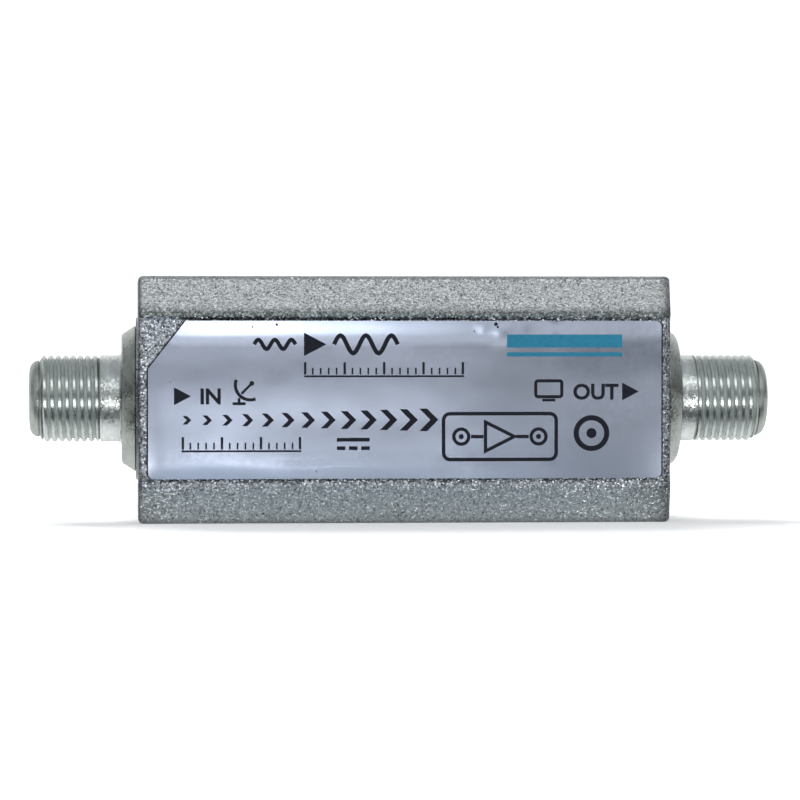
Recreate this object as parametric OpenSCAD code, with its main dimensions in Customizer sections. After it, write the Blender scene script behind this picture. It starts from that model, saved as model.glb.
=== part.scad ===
// Inline satellite signal amplifier: a die-cast box with a threaded coaxial jack at each end,
// a recessed foil label, a pressed-in back cover and a two-stage amplifier board inside.
// Every piece is drawn about the jacks' common axis, with X along the box, Y across it and
// Z towards the label, and upright() then stands it on its long side with the label to -Y.

/* [Housing] */
// Length of the cast box between its end faces
body_l = 57; // [52:0.5:70]
// Width of the cast box across its long sides
body_w = 26.4; // [26:0.2:32]
// Depth of the cast box from the back rim to the rail crests
body_h = 20; // [19:0.5:26]
// Thickness of the long side walls
side_wall = 2.2; // [1.8:0.1:3]
// Thickness of the end walls that hold the jacks
end_wall = 2.6; // [2:0.1:3.4]
// Thickness of the wall behind the label
face_wall = 2; // [1.4:0.1:3]
// Radius of the four corner edges
corner_r = 0.6; // [0.3:0.1:1.2]
// Radius of the edges between the front and the two ends
end_edge_r = 0.6; // [0.2:0.1:0.7]
// Radius of the inner corners of the bay
bay_r = 1; // [0.5:0.1:2]
// Width of the ledge that carries the board
board_ledge = 1.2; // [0.8:0.1:2]
// Diameter of the raised ring around each jack
pad_d = 17.6; // [17:0.1:18.5]
// Height of the raised ring around each jack
pad_t = 0.2; // [0.1:0.05:0.6]

/* [Label face] */
// Width of the flat floor between the rails
recess_w = 17; // [15:0.1:18]
// Depth of the floor below the rail crests
recess_depth = 0.4; // [0.2:0.05:0.8]
// Width of the sloping step between floor and rail
step_w = 0.55; // [0.3:0.05:1]
// Fall of a rail from its crest to its outer edge
rail_drop = 1.1; // [0.5:0.1:1.6]
// Radius of the outer rail edges
rail_edge_r = 0.8; // [0.4:0.1:1.2]
// Thickness of the foil label
label_t = 0.1; // [0.05:0.01:0.2]
// Bare floor between the label and each end of the box
label_inset = 1.05; // [0.5:0.05:3]
// Bare floor between the label and each step
label_margin = 0.1; // [0.05:0.05:0.5]
// Length of the cut label corner along the box
label_cut_l = 4; // [1:0.5:8]
// Length of the cut label corner across the box
label_cut_w = 5.1; // [1:0.1:8]

/* [Back cover] */
// Width of the rim around the cover
rim_w = 1; // [0.8:0.1:1.5]
// Thickness of the cover plate
cover_t = 1; // [0.8:0.1:1.5]
// Thickness of the cover's spring skirt
skirt_t = 0.5; // [0.4:0.1:1]
// Height of the spring skirt
skirt_h = 2.4; // [1.5:0.1:3]
// Width of one spring finger
finger_w = 4.6; // [3:0.2:8]
// Slot between two spring fingers
finger_slot = 0.8; // [0.5:0.1:1.5]
// Clearance around the cover and its skirt
cover_fit = 0.05; // [0.02:0.01:0.1]
// Radius of the two notches for prising the cover off
notch_r = 1.3; // [0.8:0.1:2]

/* [Jacks] */
// Major diameter of the 3/8-32 thread and the plain neck behind it
thread_d = 9.4; // [9:0.1:9.6]
// Pitch of the thread, 32 turns to the inch
thread_pitch = 0.794; // [0.7:0.002:0.9]
// Depth of the thread
thread_depth = 0.5; // [0.3:0.05:0.55]
// Turns of thread on the input jack
input_turns = 8; // [5:0.5:9]
// Turns of thread on the output jack
output_turns = 8.5; // [5:0.5:9]
// Reach of a jack beyond its end face
jack_reach = 11.7; // [11:0.1:14]
// Diameter of the conical boss at the box
boss_d = 15.8; // [15:0.1:16.8]
// Diameter of the conical boss at its outer end
boss_tip_d = 13.9; // [12:0.1:14.8]
// Length of the conical boss
boss_l = 1.55; // [1:0.05:2]
// Length of the plain nose in front of the thread
nose_l = 1.15; // [0.9:0.05:1.5]
// Diameter of the nose behind its rounded edge
nose_d = 8.1; // [7.6:0.1:8.2]
// Radius of the rounded nose edge
nose_r = 0.85; // [0.3:0.05:0.9]
// Diameter of the spigot pressed into the end wall
spigot_d = 11; // [10:0.1:12.5]
// Distance across the two flats that stop the spigot turning
spigot_flats = 9.8; // [9:0.1:9.9]
// Bore for the insulators
jack_bore_d = 5.6; // [5.2:0.1:6]
// Opening in the front lip
lip_d = 4.8; // [4:0.1:5]
// Thickness of the front lip
lip_t = 0.6; // [0.4:0.1:1]
// Clearance of pressed and seated round pieces
seat_fit = 0.02; // [0.01:0.01:0.05]

/* [Contacts and insulators] */
// Setback of the front insulator from the jack's face
insulator_setback = 0.2; // [0:0.05:0.5]
// Hole that guides the cable's inner conductor
guide_d = 1.6; // [1.5:0.1:1.8]
// Wide end of the lead-in cone
lead_in_d = 2.8; // [2:0.1:3.4]
// Depth of the lead-in cone
lead_in_l = 0.6; // [0.3:0.1:1]
// Length of the straight guide hole
guide_l = 1.6; // [1.2:0.1:2.5]
// Chamber around the spring contact
chamber_d = 3.6; // [3.2:0.1:4.2]
// Length of the rear insulator
rear_insulator_l = 3.4; // [3:0.1:4.5]
// Outer diameter of the spring contact
contact_d = 2.4; // [2.2:0.1:2.8]
// Bore of the spring contact
contact_bore_d = 1.2; // [1.1:0.1:1.2]
// Depth of the contact's bore and slits
contact_bore_l = 5; // [3:0.1:5.4]
// Width of the slits that make the contact springy
slit_w = 0.4; // [0.2:0.1:0.6]
// Thickness of the collar at the contact's foot
collar_t = 0.6; // [0.4:0.1:1]
// Diameter of the contact's stem in the rear insulator
stem_d = 1.4; // [1:0.1:2]
// Diameter of the contact's solder tail
tail_d = 0.8; // [0.6:0.1:1]
// Length of the solder tail on the board
tail_l = 3.2; // [2:0.1:3.6]
// Play between the contact's mouth and the guide hole
contact_play = 0.2; // [0.1:0.1:0.4]

/* [Board] */
// Thickness of the board
board_t = 1; // [0.8:0.1:1.6]
// Clearance between the board and the bay
board_gap = 0.15; // [0.05:0.05:0.3]
// Thickness of the copper tracks and of the ground foil
track_t = 0.1; // [0.05:0.01:0.15]
// Width of the signal line
line_w = 1.4; // [1:0.1:2]
// Width of the supply rail
rail_w = 1.2; // [0.8:0.1:2]
// Distance of the coupling capacitors from the board's ends
cap_inset = 8.7; // [8:0.1:9.5]
// Distance of the chokes from the board's ends
choke_inset = 4.4; // [4:0.1:4.6]
// Distance of each transistor from the middle of the board
stage_x = 8; // [7:0.1:8.5]
// Size of a solder fillet between board and wall
solder_leg = 0.9; // [0.5:0.1:1.2]
// Length of a solder fillet between board and wall
solder_l = 3.6; // [2:0.2:5]
// Distance between neighbouring ground solder fillets
solder_pitch = 15; // [12:0.5:18]
// Thickness of solder over a contact's tail
solder_over = 0.25; // [0.1:0.05:0.4]

/* [Components] */
// Turns of a choke, to which half a turn is added
choke_turns = 6; // [4:1:8]
// Pitch of a choke's turns
choke_pitch = 1; // [0.95:0.05:1.1]
// Middle radius of a choke's turns
choke_r = 1.45; // [1.2:0.05:1.5]
// Diameter of a choke's wire
wire_d = 0.5; // [0.3:0.05:0.5]
// Gap between a choke's turns and the tracks
choke_lift = 0.4; // [0.2:0.1:0.6]
// Length of a coupling capacitor
big_chip_l = 3.2; // [2.8:0.1:3.4]
// Width of a coupling capacitor
big_chip_w = 1.6; // [1.2:0.1:1.8]
// Length of a small chip
chip_l = 2; // [1.6:0.1:2.2]
// Width of a small chip
chip_w = 1.25; // [0.8:0.05:1.4]
// Thickness of a chip
chip_t = 0.6; // [0.4:0.05:0.9]
// Diameter of the supply capacitor's can
can_d = 4; // [3.2:0.1:4.2]
// Height of the supply capacitor
can_h = 4.2; // [3:0.1:4.4]
// Diameter of the protection diode
diode_d = 1.4; // [1:0.1:1.6]
// Length of the protection diode
diode_l = 3.4; // [3:0.1:3.6]

/* [Hidden] */
$fn = 64;
// Overlap of a cutting shape past the face that it cuts
cut = 1;

// Levels along Z, from the back rim to the rail crests
back_z = -body_h / 2;
crest_z = body_h / 2;
floor_z = crest_z - recess_depth;
ceiling_z = floor_z - face_wall;
track_face_z = tail_d / 2;
board_z = track_face_z + track_t;
foil_z = board_z + board_t;
ledge_z = foil_z + track_t;

// Spaces inside the housing
bay_l = body_l - 2 * end_wall;
bay_w = body_w - 2 * side_wall;
cover_l = body_l - 2 * rim_w;
cover_w = body_w - 2 * rim_w;
board_l = bay_l - 2 * board_gap;
board_w = bay_w - 2 * board_gap;

// Rail section
rail_inner_y = recess_w / 2 + step_w;
rail_angle = atan(rail_drop / (body_w / 2 - rail_inner_y));
rail_edge_z = crest_z - rail_drop;
rail_arc_z = rail_edge_z - rail_edge_r * (1 - sin(rail_angle)) / cos(rail_angle);
rail_arc_steps = 8;
end_edge_steps = 5;

// Levels along a jack, outwards from the end face
boss_end = pad_t + boss_l;
thread_end = jack_reach - nose_l;
lip_back = jack_reach - lip_t;
root_r = thread_d / 2 - thread_depth;
insulator_split = rear_insulator_l - end_wall;
insulator_face = jack_reach - insulator_setback;
chamber_end = insulator_face - lead_in_l - guide_l;
contact_mouth = chamber_end - contact_play;
nose_steps = 6;

// Thread ridge section
thread_segments = 24;
thread_embed = 0.15;
thread_relief = 0.03;
ridge_base = 0.46 * thread_pitch;
ridge_crest = 0.07 * thread_pitch;

// Places on the board
cap_x = board_l / 2 - cap_inset;
choke_x = board_l / 2 - choke_inset;
rail_y = -(choke_turns + 0.5) * choke_pitch;
pad_lap = 0.5;
pad_side = 0.2;
big_gap = big_chip_l - 2 * pad_lap;
line_end = 0.4;

// Transistor package and its gull-wing leads
transistor_l = 2;
transistor_w = 1.3;
transistor_t = 0.9;
lead_w = 0.36;
lead_t = 0.15;
lead_reach = 0.55;
lead_y = 0.42;
package_lift = 0.08;
lead_level = 0.35;

// Regulator package with three leads and a wide tab
regulator_l = 4.5;
regulator_w = 2.5;
regulator_t = 1.5;
regulator_x = -1.5;
regulator_pitch = 1.5;
regulator_lead_l = 1;
regulator_tab_w = 1.7;
regulator_y = rail_y + rail_w / 2 + regulator_lead_l + regulator_w / 2 - pad_lap;

// Small chips beside each stage, as [x from the stage, y, turn]
bias_resistor_spots = [[3.1, 2.1, 90], [-3.1, 2.1, 90], [3.1, -2.1, 90]];
bypass_capacitor_spots = [[3.1, 5.1, 90], [-0.6, 3.6, 0]];
can_x = 15;
can_y = 6.4;
can_base_t = 0.7;
can_neck = 0.35;
can_groove = 0.25;
diode_y = line_w / 2 + diode_l / 2 - pad_lap;

// Choke path: a straight leg, turns round an axis along Y, and a straight leg
wire_sides = 6;
turn_rings = 12;
choke_axis_h = choke_lift + wire_d / 2 + choke_r;
choke_rings = (choke_turns + 0.5) * turn_rings;
function turn_point(a) =
    [choke_r * cos(a), -choke_pitch * a / 360, choke_axis_h + choke_r * sin(a)];
function turn_ring(a) = [turn_point(a), [cos(a), 0, sin(a)], [0, 1, 0]];
choke_path = concat(
    [[[choke_r, 0, 0], [1, 0, 0], [0, 1, 0]]],
    [for (i = [0:choke_rings]) turn_ring(i * 360 / turn_rings)],
    [[[-choke_r, rail_y, 0], [-1, 0, 0], [0, 1, 0]]]);
choke_gap = min([for (i = [0:turn_rings / 2:choke_rings - turn_rings])
    norm(turn_point(i * 360 / turn_rings) - turn_point((i + turn_rings) * 360 / turn_rings))
    - wire_d]);
echo(choke_turn_gap = choke_gap);

function arc(x, y, r, from, to, steps) =
    [for (i = [0:steps]) let (a = from + (to - from) * i / steps) [x + r * cos(a), y + r * sin(a)]];

// Stands a piece on its long side, with the label facing -Y
module upright() {
    translate([0, 0, body_w / 2]) rotate([90, 0, 0]) children();
}

// Turns a piece drawn along +Z so that it points out of the input or output end
module at_end(side) {
    translate([side * body_l / 2, 0, 0]) rotate([0, side * 90, 0]) children();
}

// Seats a component on the tracks, with its own +Z away from the board
module on_board(x, y, turn = 0) {
    translate([x, y, track_face_z]) mirror([0, 0, 1]) rotate([0, 0, turn]) children();
}

module round_plate(l, w, h, r) {
    translate([-l / 2 + r, -w / 2, 0]) cube([l - 2 * r, w, h]);
    translate([-l / 2, -w / 2 + r, 0]) cube([l, w - 2 * r, h]);
    for (x = [-1, 1], y = [-1, 1])
        translate([x * (l / 2 - r), y * (w / 2 - r), 0]) cylinder(r = r, h = h);
}

// Section of the cast box across its length, with its front lowered by fall
function body_section(fall) =
    let (edge_y = body_w / 2 - rail_edge_r,
         edge = arc(edge_y, rail_arc_z - fall, rail_edge_r, 0, 90 - rail_angle, rail_arc_steps),
         half = concat([[body_w / 2, back_z]], edge,
                       [[rail_inner_y, crest_z - fall], [recess_w / 2, floor_z - fall]]))
    concat(half, [for (i = [len(half) - 1:-1:0]) [-half[i][0], half[i][1]]]);

// The section run along the box, with rounded edges where its front meets the two ends
module cast_block() {
    quarter = [for (i = [0:end_edge_steps]) let (a = 90 * i / end_edge_steps)
        [body_l / 2 - end_edge_r * (1 - cos(a)), end_edge_r * (1 - sin(a))]];
    stations = concat([for (s = quarter) [-s[0], s[1]]],
                      [for (i = [end_edge_steps:-1:0]) quarter[i]]);
    sections = [for (s = stations) [for (p = body_section(s[1])) [s[0], p[0], p[1]]]];
    count = len(sections[0]);
    last = len(sections) - 1;
    sides = [for (i = [0:last - 1], k = [0:count - 1]) let (next = (k + 1) % count)
        [i * count + k, (i + 1) * count + k, (i + 1) * count + next, i * count + next]];
    ends = [[for (k = [0:count - 1]) k], [for (k = [count - 1:-1:0]) last * count + k]];
    polyhedron([for (section = sections) each section], concat(sides, ends));
}

// Round spigot with two flats, or the hole that takes it
module spigot(gap, h) {
    intersection() {
        cylinder(r = spigot_d / 2 + gap, h = h);
        translate([-spigot_d, -spigot_flats / 2 - gap, 0])
            cube([2 * spigot_d, spigot_flats + 2 * gap, h]);
    }
}

module housing() {
    color("silver") upright() difference() {
        union() {
            intersection() {
                cast_block();
                translate([0, 0, back_z]) round_plate(body_l, body_w, body_h, corner_r);
            }
            for (side = [-1, 1]) at_end(side) cylinder(d = pad_d, h = pad_t);
        }
        translate([0, 0, back_z - cut]) round_plate(cover_l, cover_w, cover_t + cut, bay_r);
        translate([0, 0, back_z]) round_plate(bay_l, bay_w, ledge_z - back_z, bay_r);
        translate([0, 0, back_z])
            round_plate(bay_l - 2 * board_ledge, bay_w - 2 * board_ledge, ceiling_z - back_z, bay_r);
        for (side = [-1, 1])
            at_end(side) translate([0, 0, -end_wall]) spigot(seat_fit, end_wall + pad_t + cut);
    }
}

// One wall of the spring skirt, cut into fingers, standing on the plate along X
module skirt_wall(l) {
    count = floor((l + finger_slot) / (finger_w + finger_slot));
    step = finger_w + finger_slot;
    for (i = [0:count - 1])
        translate([(i - (count - 1) / 2) * step - finger_w / 2, 0, -cut / 2])
            cube([finger_w, skirt_t, skirt_h + cut / 2]);
}

module back_cover() {
    plate_l = cover_l - 2 * cover_fit;
    plate_w = cover_w - 2 * cover_fit;
    color("gainsboro") upright() translate([0, 0, back_z]) {
        difference() {
            round_plate(plate_l, plate_w, cover_t, bay_r - cover_fit);
            for (side = [-1, 1])
                translate([side * plate_l / 2, 0, -cut]) cylinder(r = notch_r, h = cover_t / 2 + cut);
        }
        for (side = [0, 180]) rotate([0, 0, side])
            translate([0, bay_w / 2 - cover_fit - skirt_t, cover_t]) skirt_wall(bay_l - 2 * bay_r);
        for (side = [90, 270]) rotate([0, 0, side])
            translate([0, bay_l / 2 - cover_fit - skirt_t, cover_t])
                skirt_wall(bay_w - 2 * bay_r - 2 * skirt_t);
    }
}

module rating_label() {
    l = body_l / 2 - label_inset;
    w = recess_w / 2 - label_margin;
    color("lightsteelblue") upright() translate([0, 0, floor_z]) linear_extrude(label_t)
        polygon([[-l, -w], [l, -w], [l, w], [-l + label_cut_l, w], [-l, w - label_cut_w]]);
}

// Helical ridge of the thread, which grows out of the neck, is sunk a little into the core
// and runs out at the nose
module thread_ridge(turns) {
    rings = floor(turns * thread_segments) - 2;
    fade = thread_segments / 4;
    start = thread_end - turns * thread_pitch - ridge_base - thread_relief;
    base_r = root_r - thread_embed;
    height = thread_d / 2 - thread_relief - base_r;
    function ridge_point(i, out, z) = let (a = i * 360 / thread_segments)
        [out * cos(a), out * sin(a), start + i * thread_pitch / thread_segments + z];
    points = [for (i = [0:rings]) let (tip = base_r + height * min(1, (rings - i + 0.5) / fade))
        each [ridge_point(i, base_r, -ridge_base), ridge_point(i, tip, -ridge_crest),
              ridge_point(i, tip, ridge_crest), ridge_point(i, base_r, ridge_base)]];
    sides = [for (i = [0:rings - 1], k = [0:3]) let (a = 4 * i + k, b = 4 * i + (k + 1) % 4)
        each [[a, b, b + 4], [a, b + 4, a + 4]]];
    last = 4 * rings;
    ends = [[2, 1, 0], [3, 2, 0], [last, last + 1, last + 2], [last, last + 2, last + 3]];
    polyhedron(points, concat(sides, ends));
}

module jack(turns) {
    neck_end = thread_end - turns * thread_pitch;
    nose = arc(nose_d / 2 - nose_r, jack_reach - nose_r, nose_r, 0, 90, nose_steps);
    difference() {
        union() {
            translate([0, 0, -end_wall]) spigot(0, end_wall + pad_t);
            rotate_extrude() polygon(concat(
                [[0, pad_t], [boss_d / 2, pad_t], [boss_tip_d / 2, boss_end], [thread_d / 2, boss_end],
                 [thread_d / 2, neck_end], [root_r, neck_end], [root_r, thread_end],
                 [nose_d / 2, thread_end]],
                nose, [[0, jack_reach]]));
            thread_ridge(turns);
        }
        translate([0, 0, -end_wall - cut]) cylinder(d = jack_bore_d, h = lip_back + end_wall + cut);
        cylinder(d = lip_d, h = jack_reach + cut);
    }
}

module front_insulator() {
    difference() {
        union() {
            translate([0, 0, insulator_split])
                cylinder(r = jack_bore_d / 2 - seat_fit, h = lip_back - insulator_split);
            translate([0, 0, insulator_split])
                cylinder(r = lip_d / 2 - seat_fit, h = insulator_face - insulator_split);
        }
        translate([0, 0, insulator_split - cut])
            cylinder(d = chamber_d, h = chamber_end - insulator_split + cut);
        cylinder(d = guide_d, h = jack_reach);
        translate([0, 0, insulator_face - lead_in_l])
            cylinder(d1 = guide_d, d2 = lead_in_d, h = lead_in_l);
    }
}

module rear_insulator() {
    translate([0, 0, -end_wall]) difference() {
        cylinder(r = jack_bore_d / 2 - seat_fit, h = rear_insulator_l);
        translate([0, 0, -cut]) cylinder(r = stem_d / 2 + seat_fit, h = rear_insulator_l + 2 * cut);
    }
}

module contact() {
    difference() {
        union() {
            translate([0, 0, insulator_split])
                cylinder(d = contact_d, h = contact_mouth - insulator_split);
            translate([0, 0, insulator_split])
                cylinder(r = chamber_d / 2 - seat_fit, h = collar_t);
            translate([0, 0, -end_wall]) cylinder(d = stem_d, h = rear_insulator_l);
            translate([0, 0, -end_wall - tail_l]) cylinder(d = tail_d, h = tail_l + end_wall);
        }
        translate([0, 0, contact_mouth - contact_bore_l])
            cylinder(d = contact_bore_d, h = contact_bore_l + cut);
        for (turn = [0, 90]) rotate([0, 0, turn])
            translate([-contact_d, -slit_w / 2, contact_mouth - contact_bore_l + contact_bore_d])
                cube([2 * contact_d, slit_w, contact_bore_l + cut]);
    }
}

module input_jack() { color("lightgray") upright() at_end(-1) jack(input_turns); }
module output_jack() { color("lightgray") upright() at_end(1) jack(output_turns); }
module input_front_insulator() { color("ivory") upright() at_end(-1) front_insulator(); }
module output_front_insulator() { color("ivory") upright() at_end(1) front_insulator(); }
module input_rear_insulator() { color("ivory") upright() at_end(-1) rear_insulator(); }
module output_rear_insulator() { color("ivory") upright() at_end(1) rear_insulator(); }
module input_contact() { color("goldenrod") upright() at_end(-1) contact(); }
module output_contact() { color("goldenrod") upright() at_end(1) contact(); }

module circuit_board() {
    color("darkgreen") upright() translate([0, 0, board_z])
        round_plate(board_l, board_w, board_t, bay_r);
}

module ground_foil() {
    color("peru") upright() translate([0, 0, foil_z]) round_plate(board_l, board_w, track_t, bay_r);
}

// A straight track from one corner to the other
module track(from, to) {
    translate([from[0], from[1], track_face_z]) cube([to[0] - from[0], to[1] - from[1], track_t]);
}

// The two solder pads under a chip, and a diode's likewise
module chip_pads(x, y, turn, l, w) {
    for (end = [-1, 1])
        translate([x, y, track_face_z]) rotate([0, 0, turn])
            translate([end * (l / 2 - pad_lap) - (end < 0 ? pad_lap + pad_side : 0), -w / 2 - pad_side, 0])
                cube([pad_lap + pad_side, w + 2 * pad_side, track_t]);
}

// Stretches of the signal line between the parts that it joins, from input to output
module signal_line() {
    lead_x = transistor_l / 2 + lead_reach;
    stretches = [
        [-board_l / 2 + line_end, -cap_x - big_gap / 2],
        [-cap_x + big_gap / 2, -stage_x - lead_x + pad_lap],
        [-stage_x + lead_x - pad_lap, -big_gap / 2],
        [big_gap / 2, stage_x - lead_x + pad_lap],
        [stage_x + lead_x - pad_lap, cap_x - big_gap / 2],
        [cap_x + big_gap / 2, board_l / 2 - line_end]];
    for (s = stretches) track([s[0], -line_w / 2], [s[1], line_w / 2]);
}

module copper_tracks() {
    color("peru") upright() {
        signal_line();
        track([-choke_x - choke_r - wire_d, rail_y - rail_w / 2],
              [choke_x + choke_r + wire_d, rail_y + rail_w / 2]);
        for (side = [-1, 1], spot = bias_resistor_spots)
            chip_pads(side * stage_x + spot[0], spot[1], spot[2], chip_l, chip_w);
        for (side = [-1, 1], spot = bypass_capacitor_spots)
            chip_pads(side * stage_x + spot[0], spot[1], spot[2], chip_l, chip_w);
        translate([regulator_x, 0, 0])
            track([-regulator_tab_w / 2, regulator_y + regulator_w / 2 - pad_lap],
                  [regulator_tab_w / 2, regulator_y + regulator_w / 2 + pad_lap]);
        chip_pads(-choke_x, diode_y, 90, diode_l, diode_d);
        chip_pads(can_x, can_y, 0, can_d, lead_w);
    }
}

// Concave fillet of solder in a square corner, along X, filling towards -Y and -Z
module solder_fillet(l, leg) {
    difference() {
        translate([-l / 2, -leg, -leg]) cube([l, leg, leg]);
        translate([-l / 2 - cut, -leg, -leg]) rotate([0, 90, 0]) cylinder(r = leg, h = l + 2 * cut);
    }
}

module ground_solder() {
    color("lightgray") upright() for (i = [-1, 0, 1], turn = [0, 180])
        rotate([0, 0, turn]) translate([i * solder_pitch, bay_w / 2, board_z])
            solder_fillet(solder_l, solder_leg);
}

// A half-round bead of solder over each contact's tail
module contact_solder() {
    bead_r = tail_d + solder_over;
    bead_l = tail_l - 2 * line_end;
    color("lightgray") upright() for (side = [-1, 1])
        at_end(side) rotate([0, 0, side < 0 ? 0 : 180]) difference() {
            intersection() {
                translate([track_face_z, 0, -end_wall - tail_l + line_end / 2])
                    cylinder(r = bead_r, h = bead_l);
                translate([track_face_z - 2 * bead_r, -bead_r, -end_wall - tail_l])
                    cube([2 * bead_r, 2 * bead_r, tail_l]);
            }
            translate([0, 0, -end_wall - tail_l - cut])
                cylinder(r = tail_d / 2 + seat_fit, h = tail_l + 2 * cut);
        }
}

// One gull-wing lead that leaves the package towards +X at y
module gull_lead(x, y, w, reach) {
    translate([x - lead_t, y - w / 2, lead_level]) cube([reach / 2 + lead_t, w, lead_t]);
    translate([x + reach / 2 - lead_t, y - w / 2, 0]) cube([lead_t, w, lead_level + lead_t]);
    translate([x + reach / 2 - lead_t, y - w / 2, 0]) cube([reach / 2 + lead_t, w, lead_t]);
}

module transistor() {
    translate([-transistor_l / 2, -transistor_w / 2, package_lift])
        cube([transistor_l, transistor_w, transistor_t]);
    for (turn = [0, 180], y = [-lead_y, lead_y])
        rotate([0, 0, turn]) gull_lead(transistor_l / 2, y, lead_w, lead_reach);
}

module first_transistor() { color("dimgray") upright() on_board(-stage_x, 0) transistor(); }
module second_transistor() { color("dimgray") upright() on_board(stage_x, 0) transistor(); }

module voltage_regulator() {
    color("dimgray") upright() on_board(regulator_x, regulator_y) {
        translate([-regulator_l / 2, -regulator_w / 2, package_lift])
            cube([regulator_l, regulator_w, regulator_t]);
        for (i = [-1, 0, 1]) rotate([0, 0, -90])
            gull_lead(regulator_w / 2, i * regulator_pitch, lead_w, regulator_lead_l);
        translate([-regulator_tab_w / 2, 0, 0])
            cube([regulator_tab_w, regulator_w / 2 + pad_lap, lead_t]);
    }
}

module chip(l, w) {
    translate([-l / 2, -w / 2, 0]) cube([l, w, chip_t]);
}

module coupling_capacitors() {
    color("tan") upright() for (x = [-cap_x, 0, cap_x]) on_board(x, 0) chip(big_chip_l, big_chip_w);
}

module bypass_capacitors() {
    color("tan") upright() for (side = [-1, 1], spot = bypass_capacitor_spots)
        on_board(side * stage_x + spot[0], spot[1], -spot[2]) chip(chip_l, chip_w);
}

module bias_resistors() {
    color("black") upright() for (side = [-1, 1], spot = bias_resistor_spots)
        on_board(side * stage_x + spot[0], spot[1], -spot[2]) chip(chip_l, chip_w);
}

// Wire of a choke as one tube swept along the path of legs and turns
module choke() {
    rings = len(choke_path);
    points = [for (ring = choke_path, k = [0:wire_sides - 1]) let (a = k * 360 / wire_sides)
        ring[0] + wire_d / 2 * (cos(a) * ring[1] + sin(a) * ring[2])];
    sides = [for (i = [0:rings - 2], k = [0:wire_sides - 1])
        let (a = i * wire_sides + k, b = i * wire_sides + (k + 1) % wire_sides)
        each [[a, b + wire_sides, b], [a, a + wire_sides, b + wire_sides]]];
    last = (rings - 1) * wire_sides;
    ends = [for (k = [1:wire_sides - 2]) each [[0, k, k + 1], [last, last + k + 1, last + k]]];
    polyhedron(points, concat(sides, ends));
}

module input_choke() { color("chocolate") upright() on_board(-choke_x, 0) choke(); }
module output_choke() {
    color("chocolate") upright() on_board(choke_x, 0) mirror([1, 0, 0]) choke();
}

module supply_capacitor() {
    color("lightgray") upright() on_board(can_x, can_y) {
        translate([-can_d / 2, -can_d / 2, 0]) cube([can_d, can_d, can_base_t]);
        rotate_extrude() polygon([
            [0, can_base_t], [can_d / 2, can_base_t], [can_d / 2, can_base_t + can_neck],
            [can_d / 2 - can_groove, can_base_t + 2 * can_neck],
            [can_d / 2, can_base_t + 3 * can_neck], [can_d / 2, can_h - can_groove],
            [can_d / 2 - can_groove, can_h], [0, can_h]]);
    }
}

module protection_diode() {
    color("indianred") upright() on_board(-choke_x, diode_y) translate([0, -diode_l / 2, diode_d / 2])
        rotate([-90, 0, 0]) cylinder(d = diode_d, h = diode_l);
}

housing();
back_cover();
rating_label();
input_jack();
input_front_insulator();
input_rear_insulator();
input_contact();
output_jack();
output_front_insulator();
output_rear_insulator();
output_contact();
circuit_board();
ground_foil();
copper_tracks();
ground_solder();
contact_solder();
first_transistor();
second_transistor();
voltage_regulator();
coupling_capacitors();
bypass_capacitors();
bias_resistors();
input_choke();
output_choke();
supply_capacitor();
protection_diode();
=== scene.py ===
"""Looks of an inline satellite signal amplifier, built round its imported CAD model.

Metres, in the model's own frame: X runs along the box from input to output, the label faces -Y,
the back cover +Y, and the box stands on a long side at z = 0.
"""

import math

import bmesh
import bpy
from mathutils import Matrix, Vector, noise


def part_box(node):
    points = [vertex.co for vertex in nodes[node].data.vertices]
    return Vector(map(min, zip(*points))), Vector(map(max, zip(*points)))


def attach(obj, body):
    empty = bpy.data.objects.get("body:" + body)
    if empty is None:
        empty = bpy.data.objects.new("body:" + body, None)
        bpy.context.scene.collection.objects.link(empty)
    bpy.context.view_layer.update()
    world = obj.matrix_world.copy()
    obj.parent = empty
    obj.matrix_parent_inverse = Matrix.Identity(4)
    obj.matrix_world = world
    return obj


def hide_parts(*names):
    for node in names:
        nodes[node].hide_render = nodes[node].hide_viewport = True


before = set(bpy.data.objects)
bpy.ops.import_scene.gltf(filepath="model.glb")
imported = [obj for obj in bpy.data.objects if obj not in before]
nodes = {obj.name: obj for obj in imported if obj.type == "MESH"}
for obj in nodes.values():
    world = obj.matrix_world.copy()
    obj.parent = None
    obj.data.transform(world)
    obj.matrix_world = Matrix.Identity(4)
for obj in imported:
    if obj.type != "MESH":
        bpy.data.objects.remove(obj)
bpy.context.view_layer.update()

MM = 0.001
BOX_LOW, BOX_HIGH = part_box("housing")
LABEL_LOW, LABEL_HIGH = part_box("rating_label")
AXIS_Z = (BOX_LOW.z + BOX_HIGH.z) / 2
RAIL_FOOT = 8.6 * MM
THREAD_R = 4.7 * MM
WELD = 0.001 * MM


# Shader building

GLOSS_SPREAD, BLOTCH_SPREAD = 0.08, 0.07
CAST_GRAIN, BLAST_GRAIN = 0.18 * MM, 0.16 * MM
# Reach of the painted shade in corners
CORNER_SHADE_REACH = 1.2 * MM
NOISE_ROUGHNESS = 0.55


def new_material(name, color, metallic=0.0, roughness=0.5, **sockets):
    """A material with a principled shader, its node tree, and that shader."""
    material = bpy.data.materials.new(name)
    material.use_nodes = True
    shader = material.node_tree.nodes["Principled BSDF"]
    shader.inputs["Base Color"].default_value = (*color, 1)
    shader.inputs["Metallic"].default_value = metallic
    shader.inputs["Roughness"].default_value = roughness
    for socket, value in sockets.items():
        shader.inputs[socket.replace("_", " ").title().replace("Ior", "IOR")].default_value = value
    return material, material.node_tree, shader


def add_node(tree, kind, **settings):
    """A new shader node, with its attributes and input values set by name."""
    node = tree.nodes.new(kind)
    for key, value in settings.items():
        if key in node.inputs:
            node.inputs[key].default_value = value
        else:
            setattr(node, key, value)
    return node


def join(tree, source, target):
    """Links a socket to an input, or gives the input a plain value."""
    if isinstance(source, bpy.types.NodeSocket):
        tree.links.new(source, target)
    else:
        target.default_value = source


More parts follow.
